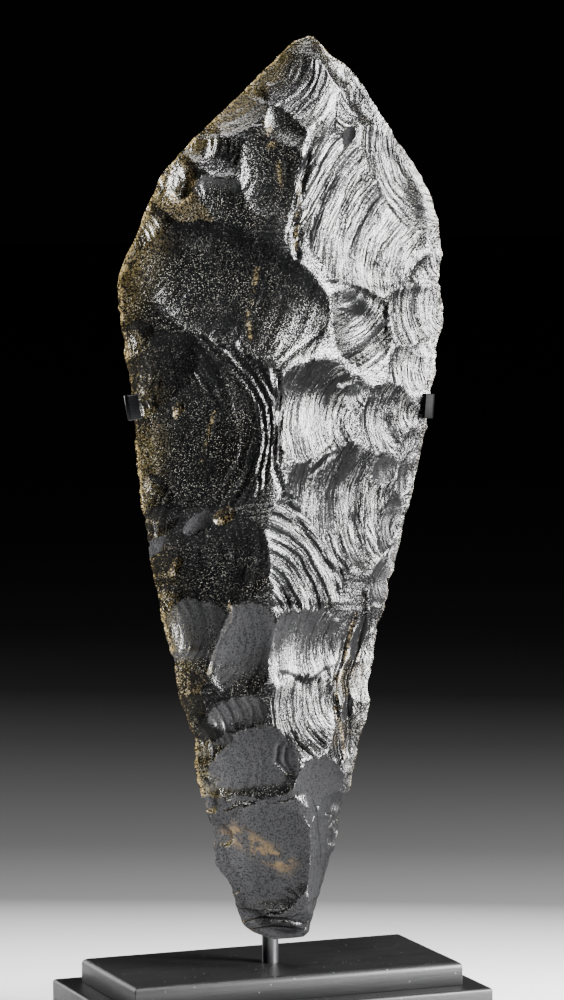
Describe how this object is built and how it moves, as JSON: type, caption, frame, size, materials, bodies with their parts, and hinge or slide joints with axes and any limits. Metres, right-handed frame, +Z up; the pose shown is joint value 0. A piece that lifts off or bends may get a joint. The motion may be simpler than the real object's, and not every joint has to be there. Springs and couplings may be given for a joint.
{
  "type": "obsidian chopper on display stand",
  "caption": "Large leaf-shaped obsidian chopper with flake-scarred faces, held upright by bent edge clips on a rod set in a stepped black base.",
  "frame": {"origin": "centre of the base's underside", "axes": "+Z up from the base to the chopper's tip, +X along the base's long side to the right of the worked face, the worked face looks along -Y"},
  "size_m": [0.1524, 0.079, 0.3827],
  "materials": {
    "obsidian": "glassy with fine flaking ripples",
    "black_wood": "satin black paint",
    "black_steel": "satin black"
  },
  "bodies": {
    "root": {"obsidian_chopper": "obsidian", "base_lower_tier": "black_wood", "base_upper_tier": "black_wood", "support_rod": "black_steel", "left_clip": "black_steel", "right_clip": "black_steel"}
  },
  "joints": []
}
